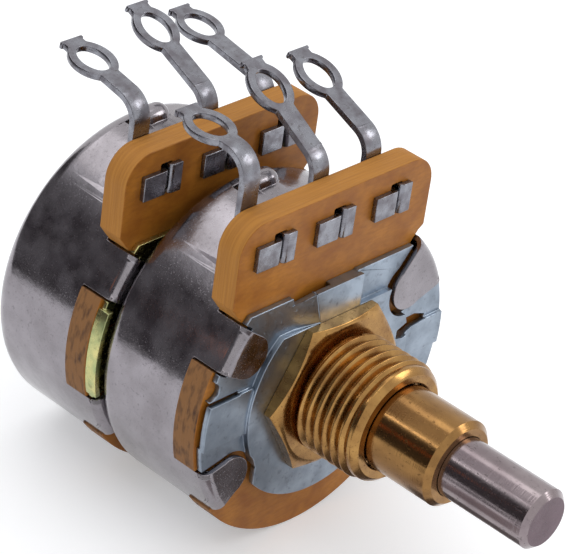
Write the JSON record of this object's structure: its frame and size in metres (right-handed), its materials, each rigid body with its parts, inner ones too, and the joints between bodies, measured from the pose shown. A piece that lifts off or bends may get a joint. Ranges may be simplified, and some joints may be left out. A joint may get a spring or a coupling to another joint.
{
  "type": "rotary potentiometer",
  "caption": "Dual-gang rotary potentiometer with concentric brass and steel shafts, a threaded bushing, two tin cans and solder lugs on amber boards.",
  "frame": {"origin": "on the shaft axis, in the front face of the bushing's hexagon, which seats on a panel", "axes": "+Y along the shaft axis from the shaft ends towards the cans, +Z towards the solder lugs"},
  "size_m": [0.0236, 0.0422, 0.0321],
  "materials": {
    "brass": "turned",
    "zinc_plate": "satin",
    "phenolic_board": "satin",
    "carbon_track": "matte",
    "silvered_metal": "satin",
    "lug_metal": "satin",
    "tin_can": "satin",
    "spring_metal": "satin",
    "steel_shaft": "turned",
    "dark_phenolic": "satin"
  },
  "bodies": {
    "housing": {"bushing": "brass", "front_plate": "zinc_plate", "front_board": "phenolic_board", "front_track": "carbon_track", "front_collector": "silvered_metal", "front_lug_left": "lug_metal", "front_lug_centre": "lug_metal", "front_lug_right": "lug_metal", "front_can": "tin_can", "rear_bearing": "brass", "rear_plate": "zinc_plate", "rear_board": "phenolic_board", "rear_track": "carbon_track", "rear_collector": "silvered_metal", "rear_lug_left": "lug_metal", "rear_lug_centre": "lug_metal", "rear_lug_right": "lug_metal", "rear_can": "tin_can"},
    "outer_turning": {"outer_shaft": "brass", "outer_clip": "spring_metal", "front_rotor": "dark_phenolic", "front_wiper": "spring_metal"},
    "inner_turning": {"inner_shaft": "steel_shaft", "inner_clip": "spring_metal", "rear_rotor": "dark_phenolic", "rear_wiper": "spring_metal"}
  },
  "joints": [
    {"name": "outer_shaft_turn", "type": "hinge", "parent": "housing", "child": "outer_turning", "pos_m": [0, 0, 0], "axis": [0, 1, 0], "range_deg": [-150, 150]},
    {"name": "inner_shaft_turn", "type": "hinge", "parent": "housing", "child": "inner_turning", "pos_m": [0, 0, 0], "axis": [0, 1, 0], "range_deg": [-150, 150]}
  ]
}
